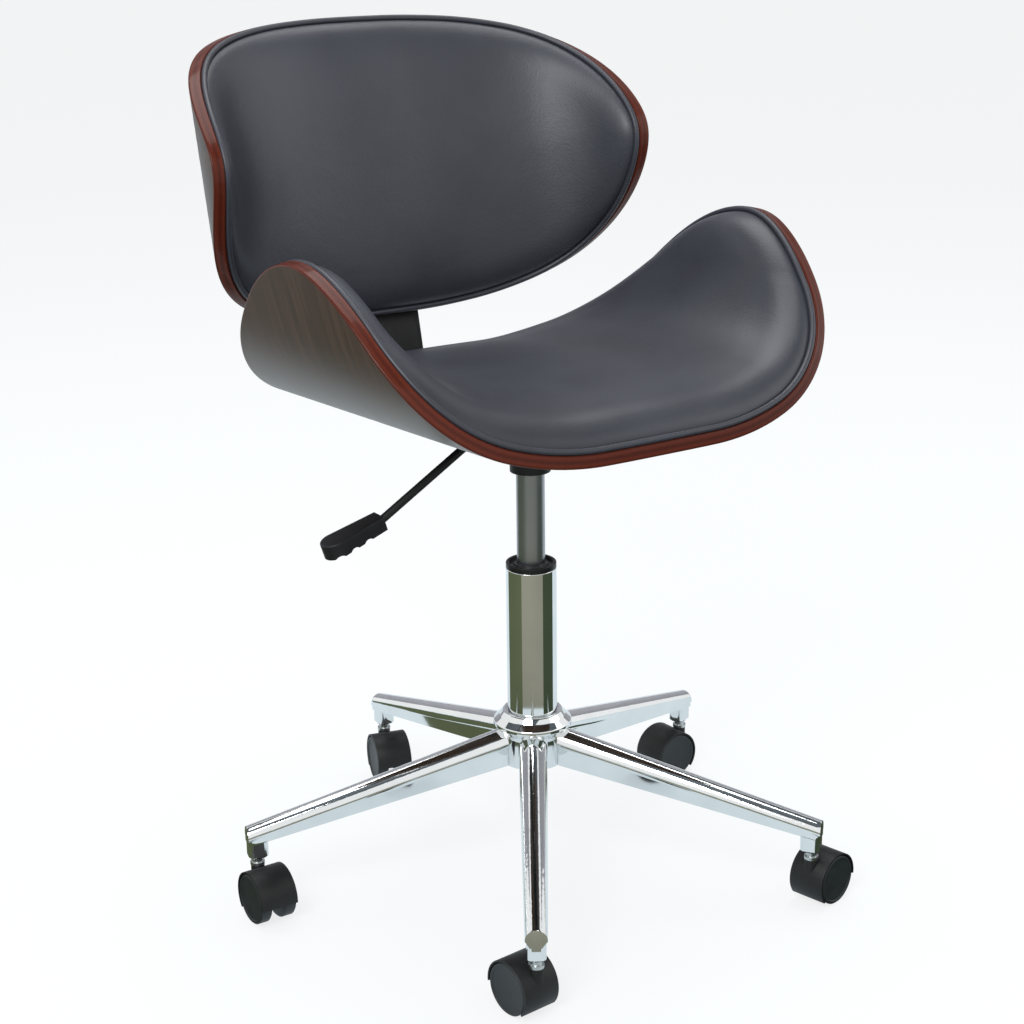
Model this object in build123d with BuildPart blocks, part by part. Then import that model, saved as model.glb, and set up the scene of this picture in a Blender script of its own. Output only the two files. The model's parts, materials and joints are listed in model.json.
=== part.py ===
from build123d import *
from collections import namedtuple
from math import cos, pi, radians, sin
import os

os.makedirs("parts", exist_ok=True)

# Driving dimensions in millimetres and degrees. The floor is z = 0, the column stands on
# the Z axis, and the sitter faces -Y.

# Fits: a press or weld joint, a running shaft, and soft goods laid on a board
weld_gap = 0.1
running = 0.05
cover_gap = 0.2

# Five-star base
arm_count = 5
arm_heading = -123.3
arm_reach = 296.3
arm_root_top = 157.5
arm_tip_top = 91.5
arm_root_width = 29.0
arm_tip_width = 20.5
arm_root_depth = 36.0
arm_tip_depth = 18.0
arm_shoulder = 2.0
arm_step = 1.2
arm_wall = 2.5
leg_length = 20.0
leg_bottom = 58.5
leg_corner = 5.0
leg_foot = 2.5
hub_radius = 33.0
hub_bottom = 121.0
hub_top = 175.5
flange_radius = 39.5
flange_low = 158.5
flange_rise = 4.0
flange_rim = 2.0
flange_lip = 3.0

# Twin-wheel casters
caster_headings = (95.5, 13.1, -175.9, -104.7, -90.1)
stem_inset = 9.3
trail = 19.4
wheel_radius = 25.0
wheel_width = 12.2
wheel_dish = 1.0
wheel_rim = 3.0
wheel_edge = 1.2
wheel_gap = 0.4
web_width = 13.0
web_hub_radius = 11.0
hood_gap = 0.7
hood_wall = 1.8
hood_low_front = 40.0
hood_low_back = 5.0
boss_radius = 6.7
axle_radius = 3.0
stem_radius = 5.5
stem_show = 5.0
stem_collar_radius = 7.2
stem_collar_height = 3.0
pintle_radius = 4.0
pintle_length = 16.0
socket_wall = 1.5
socket_depth = 24.0

# Column and gas lift
column_radius = 25.0
column_wall = 2.0
column_bottom = 118.0
column_floor = 3.0
column_top = 326.5
bush_rim = 6.0
bush_rim_wall = 3.0
bush_recess = 3.0
bush_length = 78.0
cylinder_radius = 14.0
cylinder_wall = 2.0
cylinder_low = 238.0
cylinder_top = 459.0
cylinder_end = 8.0
rod_radius = 5.0
rod_shoulder_radius = 8.0
rod_shoulder = 4.0
rod_tail = 8.0
rod_top = 262.0
piston_height = 10.0
bearing_radius = 15.0
bearing_height = 7.0
bumper_radius = 11.0
bumper_height = 12.0
clip_radius = 9.0
clip_height = 1.4
clip_groove = 1.2
pin_radius = 3.0
pin_length = 26.0
pin_room = 7.0
pin_play = 0.2

# Bent seat board: its lowest line, its tilt, and its section from the middle out
board_thickness = 12.0
seat_centre_y = -33.9
seat_underside = 481.4
seat_tilt = 2.79
seat_flat = 60.0
seat_bends = ((300.0, 17.2), (145.0, 59.3))
seat_straight = 64.6
seat_front = 178.1
seat_front_powers = (2.698, 1.579)
seat_rear = 262.5
seat_rear_powers = (1.513, 2.067)
seat_rear_fill = 20.0

# Bent back board, the same way
back_centre_y = 300.3
back_centre_z = 688.8
back_lean = 13.02
back_flat = 35.0
back_bends = ((330.0, 13.0), (235.0, 18.3), (150.0, 57.8))
back_straight = 0.0
back_lower = 157.9
back_lower_powers = (2.627, 1.560)
back_upper = 151.9
back_upper_powers = (2.667, 1.386)
back_upper_fill = 0.0
fill_powers = (2.0, 4.0)

# Upholstery
pad_inset = 3.0
pad_bulge = 2.5
pad_root = 4.0
pad_draw = 12.0
seat_edge = 24.0
seat_crown = 16.0
back_edge = 15.0
back_crown = 13.0

# Mechanism under the seat
plate_width = 116.0
plate_length = 170.0
plate_thickness = 3.0
plate_corner = 12.0
pan_width = 76.0
pan_length = 92.0
pan_depth = 33.0
socket_radius = 20.0
socket_low = 425.5
socket_bury = 8.0
plate_bolt_x = 90.0
plate_bolt_y = 130.0
bolt_radius = 3.0
bolt_head_radius = 6.0
bolt_head = 4.0
bolt_key = 4.0
bolt_key_depth = 2.2
nut_radius = 4.2
nut_flange_radius = 9.0
nut_flange = 1.5

# Height lever
lever_under = 10.5
lever_rod_radius = 4.0
lever_inner_end = 8.0
lever_bend_x = -60.4
lever_drop = 30.9
lever_bend_radius = 18.0
lever_rod_reach = 140.0
lever_pivot_x = -30.0
lever_pin_radius = 2.5
lever_ear_gap = 0.6
lever_ear = 3.0
lever_ear_reach = 7.0
lever_slot_play = 3.0
grip_socket = 15.767
grip_length = 64.0
grip_drop = 17.8
grip_root_width = 17.0
grip_tip_width = 27.0
grip_height = 15.0
grip_scallop = 6.0
grip_scallop_shares = (0.35, 0.6, 0.85)
grip_scallop_depth = 2.2
grip_round = 1.5

# Back bracket
bracket_width = 67.0
bracket_thickness = 6.0
bracket_bend = 18.0
bracket_plate_gap = 8.0
bracket_overlap = 128.0
bracket_bolt_x = 40.0
bracket_seat_bolt_y = 70.0
bracket_back_bolt_y = 70.0
bracket_bolt_edge = 24.0


def keep(piece, name):
    piece.part.label = name
    export_step(piece.part, f"parts/{name}.step")


# Bent boards. A board's plane has x across the chair, y along its straight rulings, and z
# towards the sitter. Lengths across it are measured along its outer face.
Board = namedtuple("Board", "plane flat bends straight low low_powers high high_powers high_fill")


def tilted_plane(y, z, angle):
    rulings = Vector(0, cos(radians(angle)), sin(radians(angle)))
    return Plane(origin=(0, y, z), x_dir=(1, 0, 0), z_dir=Vector(1, 0, 0).cross(rulings))


seat = Board(
    tilted_plane(seat_centre_y, seat_underside, -seat_tilt),
    seat_flat, seat_bends, seat_straight,
    seat_front, seat_front_powers, seat_rear, seat_rear_powers, seat_rear_fill,
)
back = Board(
    tilted_plane(back_centre_y, back_centre_z, 90 - back_lean),
    back_flat, back_bends, back_straight,
    back_lower, back_lower_powers, back_upper, back_upper_powers, back_upper_fill,
)


def half_span(board):
    return board.flat + sum(radius * radians(turn) for radius, turn in board.bends) + board.straight


def section_spot(board, s):
    # Place and slope of the outer face, s along it from the middle line
    run = abs(s)
    step = min(run, board.flat)
    x, z, slope = step, 0.0, 0.0
    run -= step
    for radius, turn in board.bends:
        angle = min(run / radius, radians(turn))
        x += radius * (sin(slope + angle) - sin(slope))
        z += radius * (cos(slope) - cos(slope + angle))
        slope += angle
        run -= radius * angle
    x += run * cos(slope)
    z += run * sin(slope)
    side = 1 if s >= 0 else -1
    return side * x, z, side * slope


def board_point(board, s, y, lift):
    x, z, slope = section_spot(board, s)
    return board.plane.from_local_coords(Vector(x - lift * sin(slope), y, z + lift * cos(slope)))


def fullness(share):
    # Swelling of an outline between its middle and its tips, 1 where it is most
    rise, fall = fill_powers
    peak = rise / (rise + 2 * fall)
    most = peak ** (rise / 2) * (1 - peak) ** fall
    return share**rise * (1 - share**2) ** fall / most


def board_reach(board, share, inset):
    # Lower and upper end of the ruling at a share of the half span
    ends = []
    for reach, (across, along) in ((board.low, board.low_powers), (board.high, board.high_powers)):
        ends.append((reach - inset) * (1 - share**across) ** (1 / along))
    return -ends[0], ends[1] + board.high_fill * fullness(share)


def outline_edge(board, lift, per_quarter=8):
    points = []
    for step in range(4 * per_quarter):
        turn = pi / 2 * step / per_quarter
        low, high = board_reach(board, abs(sin(turn)), 0)
        y = low if cos(turn) >= 0 else high
        points.append(board_point(board, half_span(board) * sin(turn), y, lift))
    return Edge.make_spline(points, periodic=True)


def outline_wall(board):
    # Ruled wall square to the board, along its outline
    margin = board_thickness / 2
    lower = outline_edge(board, -margin)
    upper = outline_edge(board, board_thickness + margin)
    return Face.make_surface_from_curves(lower, upper)


def bent_sheet(board, low, high):
    across = Plane(origin=board.plane.origin, x_dir=board.plane.x_dir, z_dir=-board.plane.y_dir)
    with BuildPart() as sheet:
        with BuildSketch(across):
            with BuildLine():
                tips = []
                for lift in (low, high):
                    run = Line((0, lift), (board.flat, lift))
                    for radius, turn in board.bends:
                        run = JernArc(run @ 1, run % 1, radius - lift, turn)
                    if board.straight:
                        run = Line(run @ 1, run @ 1 + run % 1 * board.straight)
                    tips.append(run @ 1)
                Line(tips[0], tips[1])
                Line((0, low), (0, high))
            make_face()
            mirror(about=Plane.YZ)
        extrude(amount=board.low + board.high, both=True)
    return sheet.part


def inside_outline(board, blank):
    pieces = blank.split(outline_wall(board), keep=Keep.ALL)
    middle = board_point(board, 0, 0, board_thickness / 2)
    return [piece for piece in pieces.solids() if piece.is_inside(middle)]


# Bolt rectangles on each board: the centre's place along the rulings, then width and length
Bolts = namedtuple("Bolts", "centre width length")
column_y = -seat_centre_y / cos(radians(seat_tilt))
bracket_front = column_y + plate_length / 2 + bracket_plate_gap
bracket_seat_y = bracket_front + bracket_bolt_edge + bracket_seat_bolt_y / 2
bracket_back_y = -back_lower + bracket_overlap - bracket_bolt_edge - bracket_back_bolt_y / 2
plate_pattern = Bolts(column_y, plate_bolt_x, plate_bolt_y)
seat_pattern = Bolts(bracket_seat_y, bracket_bolt_x, bracket_seat_bolt_y)
back_pattern = Bolts(bracket_back_y, bracket_bolt_x, bracket_back_bolt_y)


def bolt_rounds(board, patterns, lift, radius, bore=0.0):
    # Circles of one size at every bolt of the patterns, a lift above the board's outer face
    with BuildSketch(board.plane.offset(lift)) as rounds:
        for pattern in patterns:
            with Locations((0, pattern.centre)):
                with GridLocations(pattern.width, pattern.length, 2, 2):
                    Circle(radius)
                    if bore:
                        Circle(bore, mode=Mode.SUBTRACT)
    return rounds.sketch


# Base hub: a bored boss under a bell-shaped collar
with BuildPart() as base_hub:
    with BuildSketch(Plane.XZ):
        with BuildLine():
            Polyline(
                (column_radius + weld_gap, hub_bottom),
                (hub_radius, hub_bottom),
                (hub_radius, flange_low),
                (flange_radius, flange_low + flange_rise),
                (flange_radius, flange_low + flange_rise + flange_rim),
                (column_radius + weld_gap + flange_lip, hub_top),
                (column_radius + weld_gap, hub_top),
                close=True,
            )
        make_face()
    revolve(axis=Axis.Z)
keep(base_hub, "base_hub")


# Base arms: a round crown over drafted side walls, open below, with a leg at the end
stem_reach = arm_reach - stem_inset
hub_clear = hub_radius + weld_gap
arm_fall = (arm_root_top - arm_tip_top) / (arm_reach - hub_radius)
arm_pinch = (arm_root_width - arm_tip_width) / (arm_reach - hub_radius)
arm_thin = (arm_root_depth - arm_tip_depth) / (arm_reach - hub_radius)
bore_radius = stem_radius + running + socket_wall


def arm_angle(index):
    return radians(arm_heading + 360 / arm_count * index)


def arm_plane(index, reach):
    # Upright plane across an arm: x to its left, y up
    turn = arm_angle(index)
    out = Vector(cos(turn), sin(turn), 0)
    return Plane(origin=out * reach, x_dir=(-sin(turn), cos(turn), 0), z_dir=out)


def arm_section(index, reach, shrink, drop):
    along = reach - hub_radius
    top = arm_root_top - arm_fall * along - shrink
    half = (arm_root_width - arm_pinch * along) / 2 - shrink
    foot = arm_root_top - arm_fall * along - (arm_root_depth - arm_thin * along) - drop
    shoulder = top - half - arm_shoulder
    wall = half - arm_step
    with BuildSketch(arm_plane(index, reach)) as section:
        with BuildLine():
            Polyline(
                (-half, top - half), (-half, shoulder), (-wall, shoulder), (-wall, foot),
                (wall, foot), (wall, shoulder), (half, shoulder), (half, top - half),
            )
            ThreePointArc((half, top - half), (0, top), (-half, top - half))
        make_face()
    return section.sketch


def arm_ground(index, reach):
    # Level plane at an arm's stem: x outwards along the arm
    turn = arm_angle(index)
    return Plane(
        origin=(reach * cos(turn), reach * sin(turn), 0),
        x_dir=(cos(turn), sin(turn), 0),
        z_dir=(0, 0, 1),
    )


def base_arm(index):
    leg_middle = arm_reach - leg_length / 2
    leg_top = arm_tip_top - arm_tip_width / 2
    with BuildPart() as arm:
        outside = [arm_section(index, reach, 0, 0) for reach in (column_radius, arm_reach)]
        loft(outside, ruled=True)
        hollow_ends = (column_radius, arm_reach - leg_length)
        hollow = [arm_section(index, reach, arm_wall, arm_root_depth) for reach in hollow_ends]
        loft(hollow, ruled=True, mode=Mode.SUBTRACT)
        with BuildSketch(Plane.XY):
            Circle(hub_clear)
        extrude(amount=hub_top, mode=Mode.SUBTRACT)
        with BuildSketch(arm_ground(index, leg_middle).offset(leg_bottom)):
            RectangleRounded(leg_length, arm_tip_width - 2 * arm_step, leg_corner)
        extrude(amount=leg_top - leg_bottom)
        chamfer(arm.faces().sort_by(Axis.Z)[0].outer_wire().edges(), leg_foot)
        with BuildSketch(arm_ground(index, stem_reach).offset(leg_bottom)):
            Circle(bore_radius)
        extrude(amount=socket_depth, mode=Mode.SUBTRACT)
    return arm


for index in range(arm_count):
    keep(base_arm(index), f"base_arm_{index + 1}")


# Nylon sleeves pressed into the legs, and the caster stems that snap into them
collar_top = leg_bottom - stem_show
boss_top = collar_top - stem_collar_height - weld_gap
stem_top = leg_bottom + socket_depth - weld_gap

with BuildPart() as caster_sockets:
    for index in range(arm_count):
        with BuildSketch(arm_ground(index, stem_reach).offset(leg_bottom)):
            Circle(bore_radius - running)
            Circle(stem_radius + running, mode=Mode.SUBTRACT)
        extrude(amount=socket_depth)
keep(caster_sockets, "caster_sockets")

with BuildPart() as caster_stems:
    for index in range(arm_count):
        spot = arm_ground(index, stem_reach)
        with BuildSketch(spot.offset(boss_top + weld_gap)):
            Circle(stem_collar_radius)
        extrude(amount=stem_collar_height)
        with BuildSketch(spot.offset(collar_top)):
            Circle(stem_radius)
        extrude(amount=stem_top - collar_top)
        with BuildSketch(spot.offset(boss_top - pintle_length)):
            Circle(pintle_radius)
        extrude(amount=pintle_length + weld_gap)
keep(caster_stems, "caster_stems")


# Casters: a hood with a web between two wheels, on one axle
hood_inner = wheel_radius + hood_gap
hood_outer = hood_inner + hood_wall
wheel_inner = web_width / 2 + wheel_gap
caster_half = wheel_inner + wheel_width


def caster_plane(index, side_offset=0.0):
    # Upright plane of a caster's wheels: x along the trail, y up, origin under the axle
    stem = arm_ground(index, stem_reach).origin
    turn = radians(caster_headings[index])
    ahead = Vector(cos(turn), sin(turn), 0)
    side = Vector(sin(turn), -cos(turn), 0)
    return Plane(origin=stem + ahead * trail + side * side_offset, x_dir=ahead, z_dir=side)


def hood_slice(index):
    # Sector of the hood, from below the axle at the stem's side over the top to the back
    axle = Vector(0, wheel_radius)
    begin = axle + Vector(cos(radians(hood_low_back)), -sin(radians(hood_low_back))) * hood_outer
    end = axle + Vector(-cos(radians(hood_low_front)), -sin(radians(hood_low_front))) * hood_outer
    with BuildSketch(caster_plane(index)) as sector:
        with BuildLine():
            Line(axle, begin)
            ThreePointArc(begin, axle + Vector(0, hood_outer), end)
            Line(end, axle)
        make_face()
    return sector.sketch


def caster_hood(index):
    with BuildPart() as hood:
        extrude(hood_slice(index), amount=caster_half, both=True)
        for side in (-1, 1):
            with BuildSketch(caster_plane(index, side * web_width / 2)):
                with Locations((0, wheel_radius)):
                    Circle(hood_inner)
            extrude(amount=side * (caster_half + hood_wall), mode=Mode.SUBTRACT)
        with BuildSketch(caster_plane(index)):
            with Locations((0, wheel_radius)):
                Circle(web_hub_radius)
        extrude(amount=web_width / 2, both=True)
        with BuildSketch(arm_ground(index, stem_reach).offset(wheel_radius)):
            Circle(boss_radius)
        extrude(amount=boss_top - wheel_radius)
        with BuildSketch(arm_ground(index, stem_reach).offset(boss_top)):
            Circle(pintle_radius + running)
        extrude(amount=-pintle_length - weld_gap, mode=Mode.SUBTRACT)
        with BuildSketch(caster_plane(index)):
            with Locations((0, wheel_radius)):
                Circle(axle_radius + running)
        extrude(amount=caster_half, both=True, mode=Mode.SUBTRACT)
    return hood


def caster_axle(index):
    with BuildPart() as axle:
        with BuildSketch(caster_plane(index)):
            with Locations((0, wheel_radius)):
                Circle(axle_radius)
        extrude(amount=caster_half - wheel_dish - wheel_rim, both=True)
    return axle


def caster_wheel(index, side):
    # Section of a disc with a dished outer face, turned about the axle
    centre = caster_plane(index)
    turned = Plane(origin=centre.origin, x_dir=centre.z_dir * side, z_dir=centre.x_dir * -side)
    bore = wheel_radius + axle_radius + running
    with BuildPart() as wheel:
        with BuildSketch(turned):
            with BuildLine():
                Polyline(
                    (wheel_inner, bore),
                    (wheel_inner, 2 * wheel_radius - wheel_edge),
                    (wheel_inner + wheel_edge, 2 * wheel_radius),
                    (caster_half - wheel_edge, 2 * wheel_radius),
                    (caster_half, 2 * wheel_radius - wheel_edge),
                    (caster_half, 2 * wheel_radius - wheel_rim),
                    (caster_half - wheel_dish, 2 * wheel_radius - wheel_rim - wheel_dish),
                    (caster_half - wheel_dish, wheel_radius),
                    (caster_half - wheel_dish - wheel_rim, wheel_radius),
                    (caster_half - wheel_dish - wheel_rim, bore),
                    close=True,
                )
            make_face()
        revolve(axis=Axis(centre.origin + Vector(0, 0, wheel_radius), centre.z_dir))
    return wheel


for index in range(arm_count):
    keep(caster_hood(index), f"caster_hood_{index + 1}")
    keep(caster_axle(index), f"caster_axle_{index + 1}")
    keep(caster_wheel(index, 1), f"caster_wheel_{index + 1}r")
    keep(caster_wheel(index, -1), f"caster_wheel_{index + 1}l")


# Outer column with a floor that carries the thrust bearing
column_bore = column_radius - column_wall
floor_top = column_bottom + column_floor

with BuildPart() as outer_column:
    with BuildSketch(Plane.XY.offset(column_bottom)):
        Circle(column_radius)
    extrude(amount=column_top - column_bottom)
    with BuildSketch(Plane.XY.offset(floor_top)):
        Circle(column_bore)
    extrude(amount=column_top - floor_top, mode=Mode.SUBTRACT)
    with BuildSketch(Plane.XY.offset(column_bottom)):
        Circle(rod_radius + running)
    extrude(amount=column_floor, mode=Mode.SUBTRACT)
keep(outer_column, "outer_column")

# Plastic guide bush in the column's mouth, with a sunken rim
bush_top = column_top + bush_rim
with BuildPart() as column_bush:
    with BuildSketch(Plane.XZ):
        with BuildLine():
            Polyline(
                (cylinder_radius + running, column_top - bush_length),
                (column_bore - running, column_top - bush_length),
                (column_bore - running, column_top),
                (column_radius, column_top),
                (column_radius, bush_top),
                (column_radius - bush_rim_wall, bush_top),
                (column_radius - bush_rim_wall, bush_top - bush_recess),
                (cylinder_radius + running, bush_top - bush_recess),
                close=True,
            )
        make_face()
    revolve(axis=Axis.Z)
keep(column_bush, "column_bush")

with BuildPart() as thrust_bearing:
    with BuildSketch(Plane.XY.offset(floor_top)):
        Circle(bearing_radius)
        Circle(rod_radius + running, mode=Mode.SUBTRACT)
    extrude(amount=bearing_height)
keep(thrust_bearing, "thrust_bearing")

# Piston rod: a tail through the floor, a shoulder on the bearing, and the piston
shoulder_low = floor_top + bearing_height
shoulder_top = shoulder_low + rod_shoulder
clip_top = column_bottom - weld_gap
cylinder_bore = cylinder_radius - cylinder_wall
with BuildPart() as piston_rod:
    with BuildSketch(Plane.XZ):
        with BuildLine():
            Polyline(
                (0, column_bottom - rod_tail),
                (rod_radius, column_bottom - rod_tail),
                (rod_radius, clip_top - clip_height),
                (rod_radius - clip_groove, clip_top - clip_height),
                (rod_radius - clip_groove, clip_top),
                (rod_radius, clip_top),
                (rod_radius, shoulder_low),
                (rod_shoulder_radius, shoulder_low),
                (rod_shoulder_radius, shoulder_top),
                (rod_radius, shoulder_top),
                (rod_radius, rod_top - piston_height),
                (cylinder_bore - running, rod_top - piston_height),
                (cylinder_bore - running, rod_top),
                (0, rod_top),
                close=True,
            )
        make_face()
    revolve(axis=Axis.Z)
keep(piston_rod, "piston_rod")

with BuildPart() as rod_bumper:
    with BuildSketch(Plane.XY.offset(shoulder_top)):
        Circle(bumper_radius)
        Circle(rod_radius + weld_gap, mode=Mode.SUBTRACT)
    extrude(amount=bumper_height)
keep(rod_bumper, "rod_bumper")

# Spring clip in the groove of the rod's tail, open on one side
with BuildPart() as retaining_clip:
    with BuildSketch(Plane.XY.offset(clip_top - clip_height)):
        Circle(clip_radius)
        Circle(rod_radius - clip_groove + running, mode=Mode.SUBTRACT)
        with Locations((0, -clip_radius)):
            Rectangle(rod_radius, 2 * clip_radius, mode=Mode.SUBTRACT)
    extrude(amount=clip_height)
keep(retaining_clip, "retaining_clip")

# Gas cylinder: closed at both ends, with the rod below and the release pin above
with BuildPart() as gas_cylinder:
    with BuildSketch(Plane.XY.offset(cylinder_low)):
        Circle(cylinder_radius)
    extrude(amount=cylinder_top - cylinder_low)
    with BuildSketch(Plane.XY.offset(cylinder_low + cylinder_end)):
        Circle(cylinder_bore)
    extrude(amount=cylinder_top - cylinder_low - 2 * cylinder_end - pin_length, mode=Mode.SUBTRACT)
    with BuildSketch(Plane.XY.offset(cylinder_low)):
        Circle(rod_radius + running)
    extrude(amount=cylinder_end, mode=Mode.SUBTRACT)
    with BuildSketch(Plane.XY.offset(cylinder_top)):
        Circle(pin_radius + running)
    extrude(amount=-pin_length, mode=Mode.SUBTRACT)
    chamfer(gas_cylinder.faces().sort_by(Axis.Z)[-1].outer_wire().edges(), cylinder_wall / 2)
keep(gas_cylinder, "gas_cylinder")

# Release pin: from under the lever down into the cylinder's end, with room below to travel
column_spot = seat.plane.from_local_coords(Vector(0, column_y, 0))
lever_height = column_spot.Z - lever_under
pin_top = lever_height - lever_rod_radius - pin_play
pin_low = cylinder_top - pin_length + pin_room
with BuildPart() as release_pin:
    with BuildSketch(Plane.XY.offset(pin_low)):
        Circle(pin_radius)
    extrude(amount=pin_top - pin_low)
    chamfer(release_pin.faces().sort_by(Axis.Z)[-1].edges(), pin_radius / 3)
keep(release_pin, "release_pin")


# Socket that takes the cylinder's end, and the pressed plate that it is welded into
with BuildPart() as taper_socket:
    with BuildSketch(Plane.XY.offset(socket_low)):
        Circle(socket_radius)
        Circle(cylinder_radius + running, mode=Mode.SUBTRACT)
    extrude(amount=cylinder_top - socket_bury - socket_low)
keep(taper_socket, "taper_socket")

plate_plane = Plane(origin=column_spot, x_dir=seat.plane.x_dir, z_dir=seat.plane.z_dir)
ear_inner = lever_rod_radius + lever_ear_gap
ear_outer = ear_inner + lever_ear
slot_half = lever_rod_radius + lever_slot_play
with BuildPart() as mechanism_plate:
    with BuildSketch(plate_plane):
        RectangleRounded(plate_width, plate_length, plate_corner)
    extrude(amount=-plate_thickness)
    with BuildSketch(plate_plane):
        RectangleRounded(pan_width, pan_length, plate_corner)
    extrude(amount=-pan_depth)
    with BuildSketch(plate_plane.offset(-plate_thickness)):
        RectangleRounded(
            pan_width - 2 * plate_thickness,
            pan_length - 2 * plate_thickness,
            plate_corner - plate_thickness,
        )
    extrude(amount=-(pan_depth - 2 * plate_thickness), mode=Mode.SUBTRACT)
    with BuildSketch(Plane.XY.offset(socket_low)):
        Circle(socket_radius + weld_gap)
    extrude(amount=cylinder_top - socket_low, mode=Mode.SUBTRACT)
    for side in (-1, 1):
        with BuildSketch(Plane.XZ.offset(side * ear_inner)):
            with Locations((lever_pivot_x, lever_height)):
                RectangleRounded(2 * lever_ear_reach, 2 * lever_ear_reach + lever_ear, lever_ear)
        extrude(amount=side * lever_ear)
    with BuildSketch(Plane.XZ):
        with Locations((lever_pivot_x, lever_height)):
            Circle(lever_pin_radius + running)
    extrude(amount=ear_outer, both=True, mode=Mode.SUBTRACT)
    with BuildSketch(Plane.YZ):
        with Locations((0, lever_height)):
            Rectangle(2 * slot_half, 2 * slot_half)
    extrude(amount=-pan_width, mode=Mode.SUBTRACT)
    plate_holes = bolt_rounds(seat, [plate_pattern], 0, bolt_radius + running)
    extrude(plate_holes, amount=-plate_thickness, mode=Mode.SUBTRACT)
keep(mechanism_plate, "mechanism_plate")


# Height lever: a bent rod on a cross pin, with a moulded grip
with BuildPart() as lever_pivot:
    with BuildSketch(Plane.XZ):
        with Locations((lever_pivot_x, lever_height)):
            Circle(lever_pin_radius)
    extrude(amount=ear_outer, both=True)
keep(lever_pivot, "lever_pivot")

lever_fall = Vector(-cos(radians(lever_drop)), 0, -sin(radians(lever_drop)))
lever_bend = Vector(lever_bend_x, 0, lever_height)
with BuildPart() as lever_rod:
    with BuildLine() as lever_path:
        FilletPolyline(
            (lever_inner_end, 0, lever_height),
            lever_bend,
            lever_bend + lever_fall * lever_rod_reach,
            radius=lever_bend_radius,
        )
    with BuildSketch(Plane(origin=lever_path.line @ 0, z_dir=lever_path.line % 0)):
        Circle(lever_rod_radius)
    sweep()
    with BuildSketch(Plane.XZ):
        with Locations((lever_pivot_x, lever_height)):
            Circle(lever_pin_radius + running)
    extrude(amount=lever_rod_radius, both=True, mode=Mode.SUBTRACT)
keep(lever_rod, "lever_rod")

# The grip's plane has x out along the grip, y towards the front, and z up out of its top
grip_root = lever_bend + lever_fall * (lever_rod_reach - grip_socket)
grip_out = Vector(-cos(radians(grip_drop)), 0, -sin(radians(grip_drop)))
grip_plane = Plane(origin=grip_root, x_dir=grip_out, z_dir=grip_out.cross(Vector(0, -1, 0)))
with BuildPart() as lever_grip:
    with BuildSketch(grip_plane.offset(-grip_height / 2)):
        with BuildLine():
            tip_half = grip_tip_width / 2
            straight_end = grip_length - tip_half
            Line((0, -grip_root_width / 2), (0, grip_root_width / 2))
            Line((0, grip_root_width / 2), (straight_end, tip_half))
            ThreePointArc((straight_end, tip_half), (grip_length, 0), (straight_end, -tip_half))
            Line((straight_end, -tip_half), (0, -grip_root_width / 2))
        make_face()
    extrude(amount=grip_height)
    fillet(lever_grip.edges().group_by(Axis((0, 0, 0), grip_plane.z_dir))[-1], grip_round)
    under = grip_plane.offset(-grip_height / 2)
    grooves = Plane(origin=under.origin, x_dir=grip_out, z_dir=grip_plane.y_dir * -1)
    with BuildSketch(grooves):
        for share in grip_scallop_shares:
            with Locations((grip_length * share, grip_scallop_depth - grip_scallop)):
                Circle(grip_scallop)
    extrude(amount=grip_tip_width, both=True, mode=Mode.SUBTRACT)
    with BuildSketch(Plane(origin=lever_bend, z_dir=lever_fall)):
        Circle(lever_rod_radius + running)
    extrude(amount=lever_rod_reach + weld_gap, mode=Mode.SUBTRACT)
keep(lever_grip, "lever_grip")


# Seat and back boards with counterbored holes for the tee nuts
def bent_board(board, patterns):
    holes = bolt_rounds(board, patterns, 0, nut_radius + running)
    sinks = bolt_rounds(board, patterns, board_thickness - nut_flange, nut_flange_radius + running)
    with BuildPart() as drilled:
        add(bent_sheet(board, 0, board_thickness))
        extrude(holes, amount=board_thickness, mode=Mode.SUBTRACT)
        extrude(sinks, amount=nut_flange, mode=Mode.SUBTRACT)
    with BuildPart() as shell:
        add(inside_outline(board, drilled.part))
    return shell


# Pads: crowned sections square to the board, with sides that draw in, cut to the board's face
section_turns = (0, 16, 31, 45, 58, 69, 78, 84)
draw_power = 0.5
edge_power = 0.25


def pad_section(board, s, low, high, draw, edge, crown):
    slope = section_spot(board, s)[2]
    tangent = board.plane.x_dir * cos(slope) + board.plane.z_dir * sin(slope)
    origin = board_point(board, s, 0, board_thickness + cover_gap)
    with BuildSketch(Plane(origin=origin, x_dir=board.plane.y_dir, z_dir=tangent)) as section:
        with BuildLine():
            Line((low, -pad_root), (high, -pad_root))
            ThreePointArc((high, -pad_root), (high + pad_bulge, edge / 2), (high - draw, edge))
            ThreePointArc((high - draw, edge), ((low + high) / 2, edge + crown), (low + draw, edge))
            ThreePointArc((low + draw, edge), (low - pad_bulge, edge / 2), (low, -pad_root))
        make_face()
    return section.sketch


def board_pad(board, edge, crown):
    inset = pad_inset + pad_bulge
    full_low, full_high = board_reach(board, 0, inset)
    turns = [-turn for turn in reversed(section_turns[1:])] + list(section_turns)
    sections = []
    for turn in turns:
        share = sin(radians(turn))
        low, high = board_reach(board, abs(share), inset)
        span_share = (high - low) / (full_high - full_low)
        s = (half_span(board) - inset) * share
        draw = pad_draw * span_share**draw_power
        rise = edge * span_share**edge_power
        sections.append(pad_section(board, s, low, high, draw, rise, crown * span_share))
    seat_face = board_thickness + cover_gap
    with BuildPart() as pad:
        loft(sections)
        add(bent_sheet(board, seat_face - 2 * pad_root, seat_face), mode=Mode.SUBTRACT)
    return pad


seat_shell = bent_board(seat, [plate_pattern, seat_pattern])
keep(seat_shell, "seat_shell")
seat_pad = board_pad(seat, seat_edge, seat_crown)
keep(seat_pad, "seat_pad")

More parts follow.
